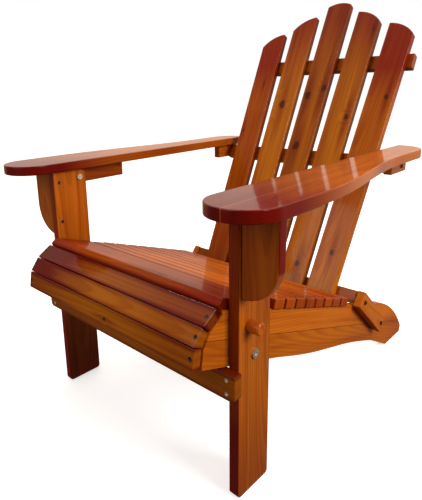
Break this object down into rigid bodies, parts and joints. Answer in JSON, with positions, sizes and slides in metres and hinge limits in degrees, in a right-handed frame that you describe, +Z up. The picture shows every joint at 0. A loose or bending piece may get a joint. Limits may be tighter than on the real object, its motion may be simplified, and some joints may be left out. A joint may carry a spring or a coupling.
{
  "type": "folding adirondack chair",
  "caption": "Folding wooden adirondack chair with a fanned slat back, wide rounded arms on corbels, a sloping slat seat and peg-locked legs.",
  "frame": {"origin": "centre of the footprint, on the floor", "axes": "+X towards the sitter's left, -Y the way the chair faces, +Z up"},
  "size_m": [0.742, 0.9493, 0.951],
  "materials": {
    "seat_wood": "gloss varnish",
    "nose_wood": "gloss varnish",
    "leg_wood": "gloss varnish",
    "arm_wood": "gloss varnish",
    "back_wood": "gloss varnish",
    "peg_wood": "gloss varnish",
    "screw_steel": "dark satin",
    "bolt_nickel": "satin plated"
  },
  "bodies": {
    "seat_frame": {"side_rail_left": "seat_wood", "side_rail_right": "seat_wood", "nose_slat_lower": "nose_wood", "nose_slat_middle": "nose_wood", "nose_slat_upper": "nose_wood", "seat_slat_wide": "seat_wood", "seat_slat_1": "seat_wood", "seat_slat_2": "seat_wood", "seat_slat_3": "seat_wood", "seat_slat_4": "seat_wood", "seat_slat_5": "seat_wood", "seat_slat_6": "seat_wood", "seat_slat_7": "seat_wood", "seat_slat_8": "seat_wood", "seat_slat_9": "seat_wood", "leg_pivot_bolts": "bolt_nickel", "link_pivot_bolts": "screw_steel", "seat_screws": "screw_steel"},
    "legs": {"leg_left": "leg_wood", "leg_right": "leg_wood", "front_stretcher": "nose_wood", "corbel_bracket_left": "leg_wood", "corbel_bracket_right": "leg_wood", "arm_pivot_bolts": "bolt_nickel", "stretcher_screws": "bolt_nickel", "bracket_screws": "screw_steel"},
    "arms": {"arm_left": "arm_wood", "arm_right": "arm_wood", "arm_front_cleat_left": "arm_wood", "arm_front_cleat_right": "arm_wood", "arm_rear_block_left": "arm_wood", "arm_rear_block_right": "arm_wood", "cleat_inserts": "bolt_nickel", "arm_screws": "screw_steel"},
    "back_links": {"back_link_left": "seat_wood", "back_link_right": "seat_wood"},
    "back": {"back_slat_1": "back_wood", "back_slat_2": "back_wood", "back_slat_3": "back_wood", "back_slat_4": "back_wood", "back_slat_5": "back_wood", "batten_top": "back_wood", "batten_middle": "back_wood", "batten_lower": "back_wood", "back_pivot_bolts": "screw_steel", "arm_rear_bolts": "screw_steel", "batten_inserts": "bolt_nickel", "back_screws": "screw_steel"},
    "peg_left": {"locking_peg_left": "peg_wood"},
    "peg_right": {"locking_peg_right": "peg_wood"}
  },
  "joints": [
    {"name": "leg_fold", "type": "hinge", "parent": "seat_frame", "child": "legs", "pos_m": [0, -0.34221, 0.274], "axis": [1, 0, 0], "range_deg": [0, 64.01]},
    {"name": "arm_fold", "type": "hinge", "parent": "back", "child": "arms", "pos_m": [0, 0.26831, 0.51841], "axis": [1, 0, 0], "range_deg": [-108.49, 0]},
    {"name": "link_fold", "type": "hinge", "parent": "seat_frame", "child": "back_links", "pos_m": [0, 0.21664, 0.11258], "axis": [1, 0, 0], "range_deg": [-114, 0]},
    {"name": "back_fold", "type": "hinge", "parent": "back_links", "child": "back", "pos_m": [0, 0.10879, 0.208], "axis": [1, 0, 0], "range_deg": [0, 211.43]},
    {"name": "peg_left_pull", "type": "slide", "parent": "legs", "child": "peg_left", "axis": [1, 0, 0], "range_m": [0, 0.018]},
    {"name": "peg_right_pull", "type": "slide", "parent": "legs", "child": "peg_right", "axis": [-1, 0, 0], "range_m": [0, 0.018]}
  ],
  "couplings": [
    {"joint": "arm_fold", "follows": "link_fold", "ratio": 0.95162},
    {"joint": "leg_fold", "follows": "link_fold", "ratio": -0.5614},
    {"joint": "back_fold", "follows": "link_fold", "ratio": -1.8546}
  ]
}
